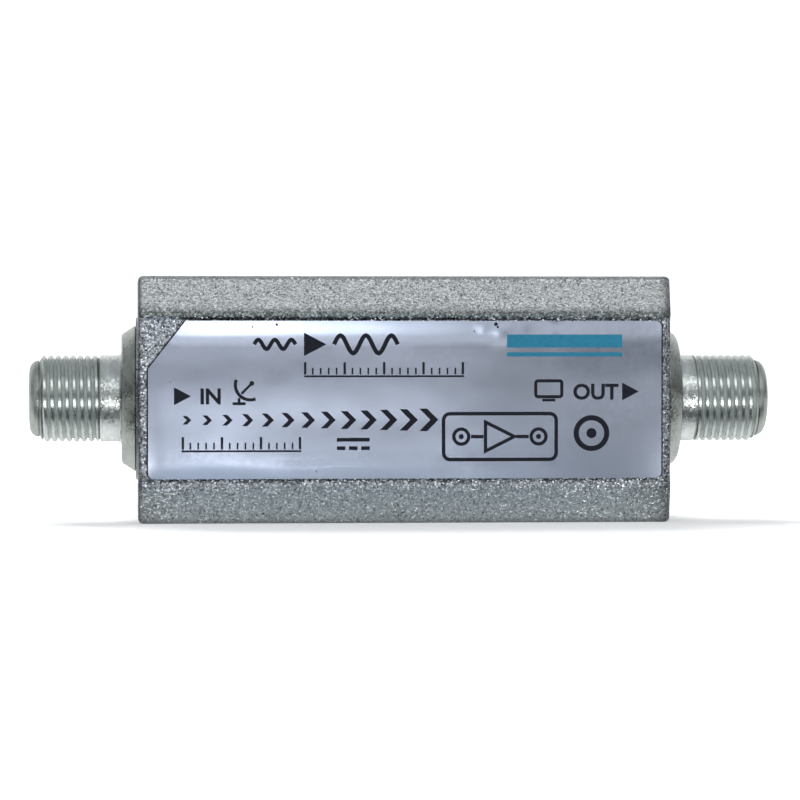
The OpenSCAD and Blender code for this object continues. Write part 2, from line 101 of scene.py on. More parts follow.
def coordinates(tree, kind="Object"):
    return add_node(tree, "ShaderNodeTexCoord").outputs[kind]


def place_sockets(tree, kind="Object"):
    """The X, Y and Z sockets of a place."""
    place = add_node(tree, "ShaderNodeSeparateXYZ")
    join(tree, coordinates(tree, kind), place.inputs["Vector"])
    return place.outputs


def noise_field(tree, grain, detail=3, stretch=(1, 1, 1), lean=0.0):
    """A noise value whose spots are about grain metres wide, longer where stretch is below 1.

    The spots lean by an angle in radians about Y.
    """
    mapping = add_node(tree, "ShaderNodeMapping", Scale=stretch, Rotation=(0, lean, 0))
    field = add_node(tree, "ShaderNodeTexNoise", Scale=1 / grain, Detail=detail, Roughness=NOISE_ROUGHNESS)
    join(tree, coordinates(tree), mapping.inputs["Vector"])
    join(tree, mapping.outputs["Vector"], field.inputs["Vector"])
    return field.outputs["Fac"]


def blend_colors(tree, field, dark, light, low=0.3, high=0.7):
    """A colour that goes from dark to light as the field goes from low to high."""
    ramp = add_node(tree, "ShaderNodeValToRGB")
    ramp.color_ramp.elements[0].position = low
    ramp.color_ramp.elements[1].position = high
    ramp.color_ramp.elements[0].color = (*dark, 1)
    ramp.color_ramp.elements[1].color = (*light, 1)
    join(tree, field, ramp.inputs["Fac"])
    return ramp.outputs["Color"]


def map_range(tree, field, low, high, from_low=0.3, from_high=0.7):
    """The field's values between from_low and from_high, spread between low and high."""
    node = add_node(tree, "ShaderNodeMapRange")
    for socket, value in zip(node.inputs, (field, from_low, from_high, low, high)):
        join(tree, value, socket)
    return node.outputs["Result"]


def add_bump(tree, shader, height, distance, below=None):
    """Bumps of that height in metres, on top of the bumps of below."""
    bump = add_node(tree, "ShaderNodeBump", Strength=1.0, Distance=distance)
    join(tree, height, bump.inputs["Height"])
    if below is not None:
        join(tree, below, bump.inputs["Normal"])
    join(tree, bump.outputs["Normal"], shader.inputs["Normal"])
    return bump.outputs["Normal"]


def calculate(tree, operation, first, second=0.0):
    """The outcome of a sum on sockets or plain numbers."""
    node = add_node(tree, "ShaderNodeMath", operation=operation)
    join(tree, first, node.inputs[0])
    join(tree, second, node.inputs[1])
    return node.outputs["Value"]


def product(tree, first, second):
    return calculate(tree, "MULTIPLY", first, second)


def vector_math(tree, operation, first, second=(0, 0, 0)):
    """The outcome of a sum on vector sockets or plain vectors."""
    node = add_node(tree, "ShaderNodeVectorMath", operation=operation)
    join(tree, first, node.inputs[0])
    join(tree, second, node.inputs[1])
    return node.outputs["Vector"]


def multiply_colors(tree, first, second):
    return vector_math(tree, "MULTIPLY", first, second)


def mix_colors(tree, factor, first, second):
    """The first colour, a socket or a plain one, where the factor is 0, and the second where it is 1."""
    mix = add_node(tree, "ShaderNodeMix", data_type="VECTOR")
    join(tree, factor, mix.inputs["Factor"])
    join(tree, first, mix.inputs[4])
    join(tree, second, mix.inputs[5])
    return mix.outputs[1]


def scaled(color, factor):
    return tuple(min(1.0, channel * factor) for channel in color)


def join_looks(tree, shader, tint, gloss):
    join(tree, tint, shader.inputs["Base Color"])
    join(tree, gloss, shader.inputs["Roughness"])


def plain_finish(name, color, metallic, roughness, grain, spread=0.12, bump=0.0, **sockets):
    """A finish whose colour and gloss vary a little from spot to spot."""
    material, tree, shader = new_material(name, color, metallic, roughness, **sockets)
    field = noise_field(tree, grain)
    tint = blend_colors(tree, field, scaled(color, 1 - spread), scaled(color, 1 + spread))
    gloss = map_range(tree, field, roughness - GLOSS_SPREAD, roughness + GLOSS_SPREAD)
    join_looks(tree, shader, tint, gloss)
    if bump:
        add_bump(tree, shader, field, bump)
    return material


def tilted_grains(tree, colors, tilt):
    """The surface normal, leaning another way on each grain, up to about the tangent tilt."""
    lean = add_node(tree, "ShaderNodeVectorMath", operation="SCALE")
    join(tree, vector_math(tree, "SUBTRACT", colors, (0.5, 0.5, 0.5)), lean.inputs[0])
    join(tree, product(tree, tilt, 2.0), lean.inputs["Scale"])
    normal = add_node(tree, "ShaderNodeNewGeometry").outputs["Normal"]
    return vector_math(tree, "NORMALIZE", vector_math(tree, "ADD", lean.outputs["Vector"], normal))


def axis_place(tree):
    """A place's X and Y sockets, and its height over the jacks' axis."""
    x, y, z = place_sockets(tree)
    return x, y, calculate(tree, "SUBTRACT", z, AXIS_Z)


def cast_masks(tree):
    """The casting's recess, where its grains get painted glints; the painted shade along its ends; the
    painted shade at its upper rail's foot; and its lower rail.
    """
    along, depth, height = axis_place(tree)
    across = calculate(tree, "ABSOLUTE", height)
    front = map_range(tree, depth, 1, 0, BOX_LOW.y + 0.7 * MM, BOX_LOW.y + 1.2 * MM)
    recess = product(tree, front, map_range(tree, across, 1, 0, RAIL_FOOT + 0.1 * MM, RAIL_FOOT + 1.6 * MM))
    # Painted shade along the front end edges, wider and stronger at the output end
    rim = map_range(tree, calculate(tree, "ABSOLUTE", along), 0, 1,
                    BOX_HIGH.x - 0.5 * MM, BOX_HIGH.x - 0.3 * MM)
    output_end_shade = map_range(tree, along, 0, 0.55, BOX_HIGH.x - 1.4 * MM, BOX_HIGH.x - 0.8 * MM)
    near_front = map_range(tree, depth, 1, 0, BOX_LOW.y + 1.2 * MM, BOX_LOW.y + 2 * MM)
    ends = product(tree, near_front, calculate(tree, "MAXIMUM", rim, output_end_shade))
    # Painted shade at the upper rail's foot, where its step faces down
    foot = calculate(tree, "MINIMUM", map_range(tree, height, 0, 1, RAIL_FOOT, RAIL_FOOT + 0.3 * MM),
                     map_range(tree, height, 1, 0, RAIL_FOOT + 0.7 * MM, RAIL_FOOT + 1.3 * MM))
    lower = map_range(tree, height, 1, 0, -9 * MM, -7 * MM)
    return recess, ends, product(tree, front, foot), lower


def grain_cells(tree, size):
    """Outputs of a texture of cells of that size."""
    cells = add_node(tree, "ShaderNodeTexVoronoi", Scale=1 / size)
    join(tree, coordinates(tree), cells.inputs["Vector"])
    return cells.outputs


def painted_corner_shade(tree, dark, low):
    """A tint of painted shade, dark in corners, where they are open by less than the share low."""
    corners = add_node(tree, "ShaderNodeAmbientOcclusion", samples=8, Distance=CORNER_SHADE_REACH)
    return blend_colors(tree, corners.outputs["AO"], dark, (1, 1, 1), low, 0.95)


def cast_nickel():
    """Rough die casting under bright nickel: small grains that lean all ways, so that some sparkle."""
    material, tree, shader = new_material("cast_nickel", (0.44, 0.46, 0.462), metallic=1.0, roughness=0.36)
    cells = grain_cells(tree, CAST_GRAIN)
    chance = add_node(tree, "ShaderNodeTexWhiteNoise")
    join(tree, cells["Position"], chance.inputs["Vector"])
    grain = add_node(tree, "ShaderNodeSeparateColor")
    join(tree, cells["Color"], grain.inputs["Color"])
    recess, ends, foot, lower = cast_masks(tree)

    tint = blend_colors(tree, grain.outputs["Red"], (0.37, 0.39, 0.39), (0.51, 0.537, 0.537), 0, 1)
    # In the recess: random grain tone that also paints glints, some grains far lighter than the nickel and
    # others darker
    speckle_and_glints = blend_colors(tree, chance.outputs["Value"], (0.2, 0.2, 0.21), (1.7, 1.7, 1.82), 0.1, 0.9)
    pits = blend_colors(tree, chance.outputs["Value"], (0.65, 0.65, 0.65), (1, 1, 1), 0.02, 0.06)
    # Painted shade: the casting darkened in its corners and along the label's edges
    corner_shade = painted_corner_shade(tree, (0.8, 0.8, 0.8), 0.3)
    # Painted shade along the ends' front edges, for their rounding turning away from the light
    rim = blend_colors(tree, ends, (1, 1, 1), (0.25, 0.25, 0.27), 0, 1)
    # Painted shade on the upper rail's foot, where its step faces down; it is not dirt
    dirt = blend_colors(tree, foot, (1, 1, 1), (0.47, 0.48, 0.445), 0, 1)
    streaks = noise_field(tree, 0.22 * MM, detail=2, stretch=(0.035, 1, 1), lean=0.9)
    scratches = blend_colors(tree, streaks, (1, 1, 1), (0.72, 0.72, 0.7), 0.69, 0.72)
    for factor in (mix_colors(tree, recess, pits, speckle_and_glints), corner_shade, rim, dirt, scratches):
        tint = multiply_colors(tree, tint, factor)
    gloss = map_range(tree, grain.outputs["Green"], 0.27, 0.45, 0, 1)
    join_looks(tree, shader, tint, gloss)

    tail = calculate(tree, "POWER", chance.outputs["Value"], 4.0)
    tilt = map_range(tree, tail, 0.1, 0.8, 0, 1)
    tilt = product(tree, tilt, map_range(tree, recess, 1, 1.5, 0, 1))
    tilt = product(tree, tilt, map_range(tree, foot, 1, 0.5, 0, 1))
    tilt = product(tree, tilt, map_range(tree, lower, 1, 2, 0, 1))
    facets = tilted_grains(tree, cells["Color"], tilt)
    dents = add_bump(tree, shader, cells["Distance"], 0.03 * MM, below=facets)
    swell = noise_field(tree, 0.9 * MM, detail=3)
    add_bump(tree, shader, swell, 0.05 * MM, below=dents)
    return material


def turned_nickel():
    """Nickel over turned brass: fine tool marks and a bloom on the thread's crests, duller in its grooves,
    which are painted lighter against their shade.
    """
    material, tree, shader = new_material("turned_nickel", (0.6, 0.64, 0.63), metallic=1.0, roughness=0.24)
    marks = noise_field(tree, 0.25 * MM, detail=2, stretch=(6, 1, 1))
    bloom = noise_field(tree, 0.8 * MM, detail=4)
    _, depth, height = axis_place(tree)
    square = calculate(tree, "ADD", product(tree, depth, depth), product(tree, height, height))
    radius = calculate(tree, "SQRT", square)
    groove = map_range(tree, radius, 1, 0, THREAD_R - 0.2 * MM, THREAD_R - 0.04 * MM)
    # Painted light: the grooves are coloured lighter than the crests, against the shade in them
    crest_tint = blend_colors(tree, bloom, (0.4, 0.43, 0.42), (0.53, 0.56, 0.55))
    painted_light_groove_tint = blend_colors(tree, bloom, (0.62, 0.655, 0.64), (0.74, 0.775, 0.76))
    tint = mix_colors(tree, groove, crest_tint, painted_light_groove_tint)
    gloss = calculate(tree, "ADD", map_range(tree, bloom, 0.17, 0.28), product(tree, groove, 0.25))
    join_looks(tree, shader, tint, gloss)
    scratches = add_bump(tree, shader, marks, 0.012 * MM)
    add_bump(tree, shader, bloom, 0.03 * MM, below=scratches)
    return material


def blasted_nickel(name, dark, light, tilt, roughness):
    """Nickel over a blasted face: fine grains that lean up to the tangent tilt, dull blotches, and painted
    shade in corners.
    """
    material, tree, shader = new_material(name, light, metallic=1.0, roughness=roughness)
    bloom = noise_field(tree, 0.9 * MM, detail=5, stretch=(1, 0.5, 0.5))
    # Painted shade: the nickel darkened in corners, such as where the boss meets the end face
    corner_shade = painted_corner_shade(tree, (0.6, 0.6, 0.58), 0.4)
    tint = multiply_colors(tree, blend_colors(tree, bloom, dark, light), corner_shade)
    gloss = map_range(tree, bloom, roughness - BLOTCH_SPREAD, roughness + BLOTCH_SPREAD)
    join_looks(tree, shader, tint, gloss)
    facets = tilted_grains(tree, grain_cells(tree, BLAST_GRAIN)["Color"], tilt)
    add_bump(tree, shader, bloom, 0.03 * MM, below=facets)
    return material


def brushed_sheet():
    """Tinned steel sheet with fine rolling marks along it."""
    material, tree, shader = new_material("brushed_sheet", (0.5, 0.505, 0.5), metallic=1.0, roughness=0.32)
    streaks = noise_field(tree, 0.12 * MM, detail=3, stretch=(0.02, 1, 1))
    clouds = noise_field(tree, 6 * MM, detail=3)
    tint = blend_colors(tree, streaks, (0.44, 0.445, 0.44), (0.58, 0.585, 0.58))
    shade = blend_colors(tree, clouds, (0.92, 0.92, 0.92), (1.05, 1.05, 1.05))
    gloss = map_range(tree, clouds, 0.27, 0.37)
    join_looks(tree, shader, multiply_colors(tree, tint, shade), gloss)
    add_bump(tree, shader, streaks, 0.004 * MM)
    return material


def label_foil():
    """Silver-blue foil: painted lighter at its input end as a painted reflection, glossier upwards, and
    brushed low in the middle.
    """
    color = (0.33, 0.366, 0.446)
    material, tree, shader = new_material("label_foil", color, metallic=0.75, roughness=0.2,
                                          anisotropic_rotation=0.25)
    clouds = noise_field(tree, 9 * MM, detail=2)
    tint = blend_colors(tree, clouds, scaled(color, 0.94), scaled(color, 1.06))
    along, _, up = place_sockets(tree)
    # Painted reflection: the foil coloured lighter towards its input end and darker towards its output end
    share = map_range(tree, along, 0, 1, -25 * MM, 6 * MM)
    painted_reflection_fade = blend_colors(tree, share, (1.13, 1.13, 1.14), (0.89, 0.89, 0.89), 0, 1)
    fibres = noise_field(tree, 0.5 * MM, detail=2)
    gloss = calculate(tree, "ADD", map_range(tree, fibres, 0.165, 0.215),
                      map_range(tree, up, 0.05, -0.045, 8 * MM, 19 * MM))
    join_looks(tree, shader, multiply_colors(tree, tint, painted_reflection_fade), gloss)
    low_edge = map_range(tree, up, 1, 0, 7.5 * MM, 10.5 * MM)
    middle = product(tree, map_range(tree, along, 0, 0.95, -17 * MM, -12 * MM),
                     map_range(tree, along, 1, 0, 5 * MM, 14 * MM))
    join(tree, product(tree, low_edge, middle), shader.inputs["Anisotropic"])
    add_bump(tree, shader, clouds, 0.04 * MM)
    return material


def solder_mask():
    """Green mask over the laminate, with a faint weave below it."""
    color = (0.03, 0.17, 0.08)
    material, tree, shader = new_material("solder_mask", color, roughness=0.35, coat_weight=0.4)
    weave = noise_field(tree, 0.5 * MM, detail=1, stretch=(1, 1, 3))
    tint = blend_colors(tree, weave, scaled(color, 0.85), scaled(color, 1.2))
    join(tree, tint, shader.inputs["Base Color"])
    add_bump(tree, shader, weave, 0.01 * MM)
    return material


CAST = cast_nickel()
NICKEL = turned_nickel()
NECK = blasted_nickel("neck_nickel", (0.46, 0.49, 0.48), (0.66, 0.7, 0.69), 0.09, 0.29)
# The boss and nose finishes are darker copies of the neck's nickel: painted shade for the dark surroundings
# they reflect
SHADED_BOSS = blasted_nickel("shaded_boss_nickel", (0.24, 0.262, 0.242), (0.37, 0.396, 0.371), 0.08, 0.29)
SHADED_NOSE = blasted_nickel("shaded_nose_nickel", (0.27, 0.3, 0.28), (0.42, 0.45, 0.425), 0.06, 0.42)
FOIL = label_foil()
MASK = solder_mask()
COVER = brushed_sheet()
INK = plain_finish("dark_ink", (0.006, 0.007, 0.014), 0.0, 0.6, 0.3 * MM, specular_ior_level=0.2)
# Near-black glue that stands out past the foil: real glue, and painted shade along the label's edges
GLUE_AND_EDGE_SHADE = plain_finish("label_glue", (0.012, 0.012, 0.018), 0.0, 0.6, 0.3 * MM, specular_ior_level=0.2)
TEAL_INK = plain_finish("teal_ink", (0.015, 0.19, 0.31), 0.0, 0.5, 0.3 * MM, specular_ior_level=0.3)
PLASTIC = plain_finish("waxy_plastic", (0.84, 0.83, 0.78), 0.0, 0.42, 1 * MM, spread=0.04,
                       subsurface_weight=0.15)
GILT = plain_finish("gilt_brass", (0.86, 0.62, 0.25), 1.0, 0.25, 0.4 * MM)
COPPER = plain_finish("tinned_copper", (0.74, 0.66, 0.54), 1.0, 0.34, 0.6 * MM, bump=0.01 * MM)
SOLDER = plain_finish("solder", (0.7, 0.7, 0.71), 1.0, 0.27, 0.5 * MM, bump=0.02 * MM)
EPOXY = plain_finish("black_epoxy", (0.02, 0.02, 0.022), 0.0, 0.5, 0.12 * MM, bump=0.006 * MM)
TIN = plain_finish("tinned_lead", (0.72, 0.72, 0.72), 1.0, 0.3, 0.3 * MM)
CERAMIC = plain_finish("brown_ceramic", (0.42, 0.29, 0.17), 0.0, 0.55, 0.2 * MM)
GLAZE = plain_finish("black_glaze", (0.02, 0.02, 0.025), 0.0, 0.25, 0.3 * MM)
ENAMEL = plain_finish("enamelled_wire", (0.62, 0.2, 0.07), 1.0, 0.28, 0.5 * MM, coat_weight=0.6)
CAN = plain_finish("aluminium_can", (0.76, 0.77, 0.79), 1.0, 0.3, 0.5 * MM)
GLASS = plain_finish("amber_glass", (0.5, 0.15, 0.05), 0.0, 0.12, 0.6 * MM, coat_weight=0.8)


# Mesh building

SHARP_ANGLE = math.radians(30)


def add_object(name, data):
    made = bpy.data.objects.new(name, data)
    bpy.context.scene.collection.objects.link(made)
    return made


def piece(name, mesh, materials, replaces=(), body="amplifier"):
    """Links a mesh as a piece of the object that rides on a body."""
    made = add_object(name, mesh)
    for material in materials:
        mesh.materials.append(material)
    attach(made, body)
    if replaces:
        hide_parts(*replaces)
    return made


def mesh_from(name, vertices, faces, materials=None, smooth_angle=35):
    """A mesh with outward normals that is smooth up to an angle in degrees."""
    mesh = bpy.data.meshes.new(name)
    mesh.from_pydata(vertices, [], faces)
    if materials:
        mesh.polygons.foreach_set("material_index", materials)
    form = bmesh.new()
    form.from_mesh(mesh)
    bmesh.ops.recalc_face_normals(form, faces=form.faces)
    form.to_mesh(mesh)
    form.free()
    mesh.shade_smooth()
    mesh.set_sharp_from_angle(angle=math.radians(smooth_angle))
    return mesh


def even_normals(made, angle=30):
    """Shades faces smooth up to the angle in degrees, and keeps flat ones flat beside rounded edges."""
    split = made.modifiers.new("split", "EDGE_SPLIT")
    split.split_angle = math.radians(angle)
    normals = made.modifiers.new("normals", "WEIGHTED_NORMAL")
    normals.mode = "FACE_AREA"
    normals.weight = 50


def dress_node(name, material):
    """Shows a CAD node as it is, with a finish."""
    made = nodes[name]
    made.data.materials.clear()
    made.data.materials.append(material)
    made.data.shade_smooth()
    weld = made.modifiers.new("weld", "WELD")
    weld.merge_threshold = WELD
    even_normals(made)


def node_form(name):
    """A welded copy of a CAD node's mesh, with its flat faces whole."""
    form = bmesh.new()
    form.from_mesh(nodes[name].data)
    bmesh.ops.remove_doubles(form, verts=form.verts, dist=WELD)
    bmesh.ops.dissolve_limit(form, angle_limit=math.radians(1), verts=form.verts, edges=form.edges)
    return form


def round_edges(form, edges, width, segments=2):
    bmesh.ops.bevel(form, geom=edges, offset=width, offset_type="OFFSET", segments=segments,
                    profile=0.5, affect="EDGES", clamp_overlap=True)


def thicken(form, faces, shift):
    """Extrudes faces by a distance along Y."""
    for item in bmesh.ops.extrude_face_region(form, geom=faces)["geom"]:
        if isinstance(item, bmesh.types.BMVert):
            item.co.y += shift


def form_mesh(form, name):
    """The mesh of a form, which is used up."""
    bmesh.ops.recalc_face_normals(form, faces=form.faces)
    mesh = bpy.data.meshes.new(name)
    form.to_mesh(mesh)
    form.free()
    mesh.shade_smooth()
    return mesh


def finish_piece(form, node, materials, body="amplifier", angle=30):
    """Shows a form, which is used up, in place of a CAD node."""
    name = node + "_finish"
    even_normals(piece(name, form_mesh(form, name), materials, [node], body), angle)


def refine_node(name, materials, edge, finish=None, body="amplifier"):
    """Replaces a CAD node by its form with rounded edges; finish picks a face's material by its middle."""
    form = node_form(name)
    if finish:
        for face in form.faces:
            face.material_index = finish(face.calc_center_median())
    round_edges(form, [side for side in form.edges if side.calc_face_angle(0) > SHARP_ANGLE], edge)
    finish_piece(form, name, materials, body)


def band_faces(rows, count, closed=False):
    """Faces between rows of count points each; closed joins the last row to the first."""
    faces = []
    for i in range(rows if closed else rows - 1):
        first, second = i * count, (i + 1) % rows * count
        for k in range(count):
            after = (k + 1) % count
            faces.append((first + k, first + after, second + after, second + k))
    return faces


def tube_faces(rows, count):
    """Faces of a tube with flat ends, which come first."""
    ends = [tuple(range(count)), tuple(range((rows - 1) * count, rows * count))]
    return ends + band_faces(rows, count)


# Camera and studio

SENSOR_MM, LENS_MM = 36, 161.9
CAMERA_PLACE = (-30.3 * MM, -392 * MM, AXIS_Z + 6.6 * MM)
CAMERA_AIM = (0.1 * MM, 0, AXIS_Z - 0.2 * MM)
PAPER = (0.86, 0.86, 0.86)
GLOW_NEAR, GLOW_FAR = 0.05, 0.28
SWEEP_REACH, SWEEP_RISE, SWEEP_BEND, SWEEP_STEPS = 1.4, 1.6, 0.35, 16
MIDDLE = (0, 0, AXIS_Z)
STRIP_HEIGHT = 0.0038
# Low strips in front of the box, as (name, x, y, size, radiance)
STRIPS = (("input_strip", -0.044, -0.042, (0.026, 0.006), 6.5),
          ("label_strip", -0.0046, -0.075, (0.0388, 0.007), 3.7),
          ("output_strip", 0.0445, -0.042, (0.019, 0.006), 9.0))


def turn_to(made, location, aim):
    """Sets an object at a place and turns it towards a point."""
    made.location = location
    made.rotation_euler = (Vector(aim) - made.location).to_track_quat("-Z", "Y").to_euler()


def build_camera():
    data = bpy.data.cameras.new("camera")
    data.sensor_width, data.lens = SENSOR_MM, LENS_MM
    camera = add_object("camera", data)
    turn_to(camera, CAMERA_PLACE, CAMERA_AIM)
    bpy.context.scene.camera = camera


def mirrored_tone(tree, distance, x, y, mirrored):
    """The paper's colour with painted reflections in metal, cooler in front of the box and dark before the
    jacks, and that dark share.
    """
    beside = map_range(tree, calculate(tree, "ABSOLUTE", x), 0, 1, 0.024, 0.032)
    # Painted reflection: the tones that metal sees in the paper in front of the box and before the jacks
    painted_reflection_tone = blend_colors(tree, beside, (0.67, 0.775, 0.865), (0.05, 0.055, 0.055), 0, 1)
    front = product(tree, map_range(tree, y, 1, 0, -0.014, -0.006),
                    map_range(tree, distance, 1, 0, 0.08, 0.15))
    tone = mix_colors(tree, product(tree, front, mirrored), PAPER, painted_reflection_tone)
    return tone, product(tree, front, beside)


def paper_material():
    """White paper that looks lit when it is seen, but less so near the object, where it keeps its shadow; as
    seen in metal its tone and glow are painted reflections.
    """
    material, tree, shader = new_material("paper", PAPER, roughness=0.9, specular_ior_level=0.1)
    shader.inputs["Emission Color"].default_value = (1, 1, 1, 1)
    length = add_node(tree, "ShaderNodeVectorMath", operation="LENGTH")
    join(tree, coordinates(tree), length.inputs[0])
    distance = length.outputs["Value"]
    x, y, _ = place_sockets(tree)
    path = add_node(tree, "ShaderNodeLightPath").outputs
    tone, painted_dark_share = mirrored_tone(tree, distance, x, y, path["Is Glossy Ray"])
    join(tree, tone, shader.inputs["Base Color"])
    seen = calculate(tree, "ADD", path["Is Camera Ray"], path["Is Transmission Ray"])
    seen_glow = map_range(tree, distance, 0.22, 0.8, GLOW_NEAR, GLOW_FAR)
    # Painted reflections: the paper's glow as seen in metal, brighter in a band right under the box and
    # further off, weaker far out to either side, and cut where the dark share lies before the jacks
    below = calculate(tree, "MINIMUM", map_range(tree, y, 0.04, 0.34, -0.012, -0.004),
                      map_range(tree, y, 0.34, 0.04, 0.004, 0.012))
    around = map_range(tree, distance, 0.04, 0.8, GLOW_NEAR, GLOW_FAR)
    painted_mirrored_glow = calculate(tree, "MAXIMUM", below, around)
    aside = calculate(tree, "MINIMUM", map_range(tree, x, 0.2, 1, -0.16, -0.05),
                      map_range(tree, x, 1, 0.4, 0.1, 0.3))
    share = calculate(tree, "MAXIMUM", aside, map_range(tree, y, 0, 1, 0.0, 0.2))
    share = product(tree, share, calculate(tree, "SUBTRACT", 1.0, painted_dark_share))
    mirrored = product(tree, path["Is Glossy Ray"], share)
    glow = calculate(tree, "ADD", product(tree, seen, seen_glow), product(tree, mirrored, painted_mirrored_glow))
    join(tree, glow, shader.inputs["Emission Strength"])
    return material


def build_stage():
    """A paper sweep: a floor that bends up into a backdrop."""
    bend_start = SWEEP_REACH - SWEEP_BEND
    section = [(-SWEEP_REACH, 0), (bend_start, 0)]
    for i in range(1, SWEEP_STEPS + 1):
        turn = math.pi / 2 * i / SWEEP_STEPS
        section.append((bend_start + SWEEP_BEND * math.sin(turn), SWEEP_BEND - SWEEP_BEND * math.cos(turn)))
    section.append((SWEEP_REACH, SWEEP_RISE))
    vertices = [(x, y, z) for y, z in section for x in (-2 * SWEEP_REACH, 2 * SWEEP_REACH)]
    faces = [(2 * i, 2 * i + 1, 2 * i + 3, 2 * i + 2) for i in range(len(section) - 1)]
    mesh = mesh_from("sweep", vertices, faces, smooth_angle=60)
    sweep = add_object("sweep", mesh)
    mesh.materials.append(paper_material())


def area_light(name, location, aim, size, radiance):
    """A soft box of that size and brightness, turned towards a point."""
    data = bpy.data.lights.new(name, "AREA")
    data.shape = "RECTANGLE"
    data.size, data.size_y = size
    data.energy = radiance * math.pi * size[0] * size[1]
    light = add_object(name, data)
    turn_to(light, location, aim)
    light.visible_camera = False
    return light


def build_world():
    """A grey studio, darker low in front and low at both sides; white where the camera looks at it."""
    world = bpy.data.worlds.new("studio")
    bpy.context.scene.world = world
    world.use_nodes = True
    tree = world.node_tree
    x, y, z = place_sockets(tree, "Generated")
    side_change = map_range(tree, z, -0.4, 0.2, 0.15, 0.5)
    side = product(tree, map_range(tree, calculate(tree, "ABSOLUTE", x), 0, 1, 0.3, 0.9), side_change)
    height = map_range(tree, z, 0.3, 1, 0.05, 0.45)
    front = map_range(tree, y, 0, 1, -0.3, 0.5)
    level = calculate(tree, "MAXIMUM", height, front)
    level = product(tree, calculate(tree, "ADD", 1.0, side), level)
    tone = blend_colors(tree, level, (0, 0, 0), (0.504, 0.524, 0.542), 0, 1.2)
    background = tree.nodes["Background"]
    join(tree, tone, background.inputs["Color"])
    white = add_node(tree, "ShaderNodeBackground")
    white.inputs["Color"].default_value = (1, 1, 1, 1)
    choice = add_node(tree, "ShaderNodeMixShader")
    join(tree, add_node(tree, "ShaderNodeLightPath").outputs["Is Camera Ray"], choice.inputs["Fac"])
    join(tree, background.outputs["Background"], choice.inputs[1])
    join(tree, white.outputs["Background"], choice.inputs[2])
    join(tree, choice.outputs["Shader"], tree.nodes["World Output"].inputs["Surface"])


def build_lights():
    area_light("front_box", (0.05, -0.34, 0.31), MIDDLE, size=(0.7, 0.16), radiance=1.65)
    for name, x, y, size, radiance in STRIPS:
        area_light(name, (x, y, STRIP_HEIGHT), (x, 0, AXIS_Z), size, radiance)
    back_key = area_light("back_key", (-0.1, 0.36, 0.45), MIDDLE, size=(0.35, 0.3), radiance=9.5)
    back_key.visible_glossy = False


# Housing and cover

RAIL_ROUND, RAIL_STEPS = 0.38 * MM, 6
RAIL_EDGE_MIN = 10 * MM


def is_rail_edge(edge):
    """Whether an edge runs along the crest of a rail, beside the recess."""
    ends = [vertex.co for vertex in edge.verts]
    long_enough = abs(ends[0].x - ends[1].x) > RAIL_EDGE_MIN
    return long_enough and all(co.y < BOX_LOW.y + WELD for co in ends)


def build_case():
    form = node_form("housing")
    rails = [edge for edge in form.edges if is_rail_edge(edge)]
    round_edges(form, rails, RAIL_ROUND, RAIL_STEPS)
    finish_piece(form, "housing", [CAST])
    refine_node("back_cover", [COVER], 0.1 * MM, body="cover")


# Foil label and its print, both laid on one gently uneven surface

LABEL_L = LABEL_HIGH.x - LABEL_LOW.x
LABEL_W = LABEL_HIGH.z - LABEL_LOW.z
FOIL_T = LABEL_HIGH.y - LABEL_LOW.y
INK_T = 0.012 * MM
LETTER_WEIGHT, CAPITAL_SHARE = 0.07 * MM, 0.7
GLUE_T, GLUE_RIM = 0.04 * MM, 0.15 * MM
CUT_L, CUT_W = 4 * MM, 5.1 * MM
GRID = 0.5 * MM
FOIL_ROUND, FOIL_SMOOTH = 0.6 * MM, math.radians(40)
# Lifts of the foil; where each of them starts and ends is a share of the label's length or width
CREST_UP, CREST_SWAY, CREST_L = 0.1, 0.03, 7 * MM
WAVE_LIFT, END_DROP, MIDDLE_DROP = 0.17 * MM, 0.03 * MM, 0.08 * MM
TILT_LIFT, CURL_LIFT = 0.06 * MM, 0.26 * MM
RIPPLE_LIFT, RIPPLE_L, RIPPLE_W = 0.03 * MM, 11 * MM, 6 * MM
# Dirt as (x, z, radius), and dents as (share along, share up, size, height), in millimetres
SPECKS = ((-13.8, 8.0, 0.13), (-16.4, 7.75, 0.08), (9.6, 8.05, 0.2), (9.8, 7.75, 0.12), (7.3, 7.3, 0.07),
          (-9.6, -7.6, 0.07), (-25.1, 1.9, 0.06))
DENTS = ((0.65, 0.965, 0.6, 0.05), (0.685, 0.94, 0.9, 0.07), (0.73, 0.975, 0.7, 0.055),
         (0.79, 0.95, 0.8, 0.06), (0.78, 0.07, 0.7, 0.015))


def ease(value, low, high):
    """0 below low, 1 above high, and a smooth rise between."""
    share = min(1.0, max(0.0, (value - low) / (high - low)))
    return share * share * (3 - 2 * share)


